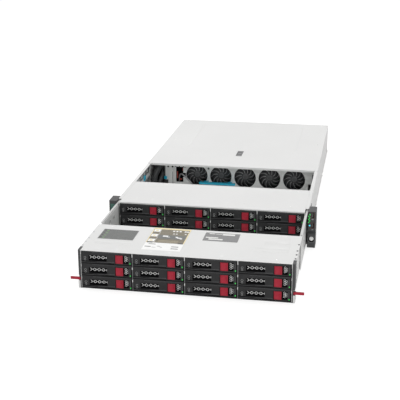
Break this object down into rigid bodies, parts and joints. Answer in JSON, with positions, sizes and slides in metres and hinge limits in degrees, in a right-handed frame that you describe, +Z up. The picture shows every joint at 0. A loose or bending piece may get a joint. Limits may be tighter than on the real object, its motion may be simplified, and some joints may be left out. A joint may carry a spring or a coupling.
{
  "type": "storage server",
  "caption": "Rack storage server with a telescoping drawer that carries a front and a rear drive cage, fans behind it and a sliding rear cover.",
  "frame": {"origin": "middle of the chassis floor's underside, in the plane of the rack posts (the back face of the ears)", "axes": "+X to the right seen from the front, +Y from the front to the rear, +Z up"},
  "size_m": [0.4826, 1.1419, 0.087],
  "materials": {
    "painted_sheet": "light silver satin sheet metal",
    "zinc_sheet": "zinc-plated sheet",
    "black_plastic": "dark grey moulded plastic",
    "grey_plastic": "grey moulded plastic",
    "carrier_plastic": "charcoal moulded bezel on metal",
    "red_plastic": "burgundy latch",
    "blue_plastic": "blue touch parts",
    "cable_jacket": "grey jacket",
    "circuit_board": "green laminate",
    "bright_steel": "nickel-plated steel",
    "bare_aluminium": "extruded fins"
  },
  "bodies": {
    "chassis": {"chassis_tray": "painted_sheet", "ear_left": "black_plastic", "ear_right": "black_plastic", "steel_fasteners": "bright_steel", "fan_wall": "painted_sheet", "fan_frames": "black_plastic", "slide_rails": "zinc_sheet", "touch_points": "blue_plastic", "cable_duct": "black_plastic", "signal_cable": "cable_jacket", "system_board": "circuit_board", "memory_modules": "circuit_board", "heatsinks": "bare_aluminium", "riser_cages": "zinc_sheet"},
    "power_button": {"power_button": "grey_plastic"},
    "locate_button": {"locate_button": "grey_plastic"},
    "main_cover": {"main_cover": "painted_sheet"},
    "cover_latch": {"cover_latch": "grey_plastic"},
    "power_supply_1": {"power_supply_1": "zinc_sheet"},
    "power_supply_2": {"power_supply_2": "zinc_sheet"},
    "drawer": {"drawer_frame": "painted_sheet", "rear_cage": "painted_sheet", "rear_backplane": "circuit_board"},
    "front_cage": {"front_cage": "painted_sheet", "front_backplane": "circuit_board", "front_brackets": "black_plastic"},
    "release_lever_left": {"release_lever_left": "red_plastic"},
    "release_lever_right": {"release_lever_right": "red_plastic"},
    "fan_impeller_1": {"fan_impeller_1": "grey_plastic"},
    "fan_impeller_2": {"fan_impeller_2": "grey_plastic"},
    "fan_impeller_3": {"fan_impeller_3": "grey_plastic"},
    "fan_impeller_4": {"fan_impeller_4": "grey_plastic"},
    "fan_impeller_5": {"fan_impeller_5": "grey_plastic"},
    "front_carrier_11": {"front_carrier_11": "carrier_plastic"},
    "front_carrier_12": {"front_carrier_12": "carrier_plastic"},
    "front_carrier_13": {"front_carrier_13": "carrier_plastic"},
    "front_carrier_14": {"front_carrier_14": "carrier_plastic"},
    "front_carrier_21": {"front_carrier_21": "carrier_plastic"},
    "front_carrier_22": {"front_carrier_22": "carrier_plastic"},
    "front_carrier_23": {"front_carrier_23": "carrier_plastic"},
    "front_carrier_24": {"front_carrier_24": "carrier_plastic"},
    "front_carrier_31": {"front_carrier_31": "carrier_plastic"},
    "front_carrier_32": {"front_carrier_32": "carrier_plastic"},
    "front_carrier_33": {"front_carrier_33": "carrier_plastic"},
    "front_carrier_34": {"front_carrier_34": "carrier_plastic"},
    "front_latch_11": {"front_latch_11": "red_plastic"},
    "front_latch_21": {"front_latch_21": "red_plastic"},
    "front_latch_31": {"front_latch_31": "red_plastic"},
    "rear_carrier_11": {"rear_carrier_11": "carrier_plastic"},
    "rear_carrier_12": {"rear_carrier_12": "carrier_plastic"},
    "rear_carrier_13": {"rear_carrier_13": "carrier_plastic"},
    "rear_carrier_14": {"rear_carrier_14": "carrier_plastic"},
    "rear_carrier_21": {"rear_carrier_21": "carrier_plastic"},
    "rear_carrier_22": {"rear_carrier_22": "carrier_plastic"},
    "rear_carrier_23": {"rear_carrier_23": "carrier_plastic"},
    "rear_carrier_24": {"rear_carrier_24": "carrier_plastic"},
    "rear_carrier_31": {"rear_carrier_31": "carrier_plastic"},
    "rear_carrier_32": {"rear_carrier_32": "carrier_plastic"},
    "rear_carrier_33": {"rear_carrier_33": "carrier_plastic"},
    "rear_carrier_34": {"rear_carrier_34": "carrier_plastic"}
  },
  "joints": [
    {"name": "drawer_slide", "type": "slide", "parent": "chassis", "child": "drawer", "axis": [0, -1, 0], "range_m": [-0.162, 0]},
    {"name": "front_cage_slide", "type": "slide", "parent": "drawer", "child": "front_cage", "axis": [0, -1, 0], "range_m": [-0.146, 0]},
    {"name": "power_press", "type": "slide", "parent": "chassis", "child": "power_button", "axis": [0, 1, 0], "range_m": [0, 0.001], "stiffness_N_per_m": 300},
    {"name": "locate_press", "type": "slide", "parent": "chassis", "child": "locate_button", "axis": [0, 1, 0], "range_m": [0, 0.001], "stiffness_N_per_m": 300},
    {"name": "cover_slide", "type": "slide", "parent": "chassis", "child": "main_cover", "axis": [0, 1, 0], "range_m": [0, 0.012]},
    {"name": "cover_latch_turn", "type": "hinge", "parent": "main_cover", "child": "cover_latch", "pos_m": [0.003, 0.4364, 0.0838], "axis": [-1, 0, 0], "range_deg": [0, 70]},
    {"name": "power_supply_1_slide", "type": "slide", "parent": "chassis", "child": "power_supply_1", "axis": [0, 1, 0], "range_m": [0, 0.19]},
    {"name": "power_supply_2_slide", "type": "slide", "parent": "chassis", "child": "power_supply_2", "axis": [0, 1, 0], "range_m": [0, 0.19]},
    {"name": "release_lever_left_turn", "type": "hinge", "parent": "front_cage", "child": "release_lever_left", "pos_m": [-0.2202, -0.3427, 0.0205], "axis": [0, 0, 1], "range_deg": [-90, 0]},
    {"name": "release_lever_right_turn", "type": "hinge", "parent": "front_cage", "child": "release_lever_right", "pos_m": [0.2202, -0.3427, 0.0205], "axis": [0, 0, -1], "range_deg": [-90, 0]},
    {"name": "fan_1_spin", "type": "hinge", "parent": "chassis", "child": "fan_impeller_1", "pos_m": [-0.1009, 0.3344, 0.045], "axis": [0, 1, 0], "continuous": true},
    {"name": "fan_2_spin", "type": "hinge", "parent": "chassis", "child": "fan_impeller_2", "pos_m": [-0.0356, 0.3344, 0.045], "axis": [0, 1, 0], "continuous": true},
    {"name": "fan_3_spin", "type": "hinge", "parent": "chassis", "child": "fan_impeller_3", "pos_m": [0.0297, 0.3344, 0.045], "axis": [0, 1, 0], "continuous": true},
    {"name": "fan_4_spin", "type": "hinge", "parent": "chassis", "child": "fan_impeller_4", "pos_m": [0.095, 0.3344, 0.045], "axis": [0, 1, 0], "continuous": true},
    {"name": "fan_5_spin", "type": "hinge", "parent": "chassis", "child": "fan_impeller_5", "pos_m": [0.1603, 0.3344, 0.045], "axis": [0, 1, 0], "continuous": true},
    {"name": "front_carrier_11_slide", "type": "slide", "parent": "front_cage", "child": "front_carrier_11", "axis": [0, -1, 0], "range_m": [0, 0.15]},
    {"name": "front_carrier_12_slide", "type": "slide", "parent": "front_cage", "child": "front_carrier_12", "axis": [0, -1, 0], "range_m": [0, 0.15]},
    {"name": "front_carrier_13_slide", "type": "slide", "parent": "front_cage", "child": "front_carrier_13", "axis": [0, -1, 0], "range_m": [0, 0.15]},
    {"name": "front_carrier_14_slide", "type": "slide", "parent": "front_cage", "child": "front_carrier_14", "axis": [0, -1, 0], "range_m": [0, 0.15]},
    {"name": "front_carrier_21_slide", "type": "slide", "parent": "front_cage", "child": "front_carrier_21", "axis": [0, -1, 0], "range_m": [0, 0.15]},
    {"name": "front_carrier_22_slide", "type": "slide", "parent": "front_cage", "child": "front_carrier_22", "axis": [0, -1, 0], "range_m": [0, 0.15]},
    {"name": "front_carrier_23_slide", "type": "slide", "parent": "front_cage", "child": "front_carrier_23", "axis": [0, -1, 0], "range_m": [0, 0.15]},
    {"name": "front_carrier_24_slide", "type": "slide", "parent": "front_cage", "child": "front_carrier_24", "axis": [0, -1, 0], "range_m": [0, 0.15]},
    {"name": "front_carrier_31_slide", "type": "slide", "parent": "front_cage", "child": "front_carrier_31", "axis": [0, -1, 0], "range_m": [0, 0.15]},
    {"name": "front_carrier_32_slide", "type": "slide", "parent": "front_cage", "child": "front_carrier_32", "axis": [0, -1, 0], "range_m": [0, 0.15]},
    {"name": "front_carrier_33_slide", "type": "slide", "parent": "front_cage", "child": "front_carrier_33", "axis": [0, -1, 0], "range_m": [0, 0.15]},
    {"name": "front_carrier_34_slide", "type": "slide", "parent": "front_cage", "child": "front_carrier_34", "axis": [0, -1, 0], "range_m": [0, 0.15]},
    {"name": "front_latch_11_turn", "type": "hinge", "parent": "front_carrier_11", "child": "front_latch_11", "pos_m": [-0.14165, -0.34395, 0.06915], "axis": [0, 0, -1], "range_deg": [0, 50]},
    {"name": "front_latch_21_turn", "type": "hinge", "parent": "front_carrier_21", "child": "front_latch_21", "pos_m": [-0.14165, -0.34395, 0.04225], "axis": [0, 0, -1], "range_deg": [0, 50]},
    {"name": "front_latch_31_turn", "type": "hinge", "parent": "front_carrier_31", "child": "front_latch_31", "pos_m": [-0.14165, -0.34395, 0.01535], "axis": [0, 0, -1], "range_deg": [0, 50]},
    {"name": "rear_carrier_11_slide", "type": "slide", "parent": "drawer", "child": "rear_carrier_11", "axis": [0, -1, 0], "range_m": [0, 0.142]},
    {"name": "rear_carrier_12_slide", "type": "slide", "parent": "drawer", "child": "rear_carrier_12", "axis": [0, -1, 0], "range_m": [0, 0.142]},
    {"name": "rear_carrier_13_slide", "type": "slide", "parent": "drawer", "child": "rear_carrier_13", "axis": [0, -1, 0], "range_m": [0, 0.142]},
    {"name": "rear_carrier_14_slide", "type": "slide", "parent": "drawer", "child": "rear_carrier_14", "axis": [0, -1, 0], "range_m": [0, 0.142]},
    {"name": "rear_carrier_21_slide", "type": "slide", "parent": "drawer", "child": "rear_carrier_21", "axis": [0, -1, 0], "range_m": [0, 0.142]},
    {"name": "rear_carrier_22_slide", "type": "slide", "parent": "drawer", "child": "rear_carrier_22", "axis": [0, -1, 0], "range_m": [0, 0.142]},
    {"name": "rear_carrier_23_slide", "type": "slide", "parent": "drawer", "child": "rear_carrier_23", "axis": [0, -1, 0], "range_m": [0, 0.142]},
    {"name": "rear_carrier_24_slide", "type": "slide", "parent": "drawer", "child": "rear_carrier_24", "axis": [0, -1, 0], "range_m": [0, 0.142]},
    {"name": "rear_carrier_31_slide", "type": "slide", "parent": "drawer", "child": "rear_carrier_31", "axis": [0, -1, 0], "range_m": [0, 0.142]},
    {"name": "rear_carrier_32_slide", "type": "slide", "parent": "drawer", "child": "rear_carrier_32", "axis": [0, -1, 0], "range_m": [0, 0.142]},
    {"name": "rear_carrier_33_slide", "type": "slide", "parent": "drawer", "child": "rear_carrier_33", "axis": [0, -1, 0], "range_m": [0, 0.142]},
    {"name": "rear_carrier_34_slide", "type": "slide", "parent": "drawer", "child": "rear_carrier_34", "axis": [0, -1, 0], "range_m": [0, 0.142]}
  ],
  "couplings": [
    {"joint": "cover_latch_turn", "follows": "cover_slide", "rad_per_m": 101.81}
  ]
}
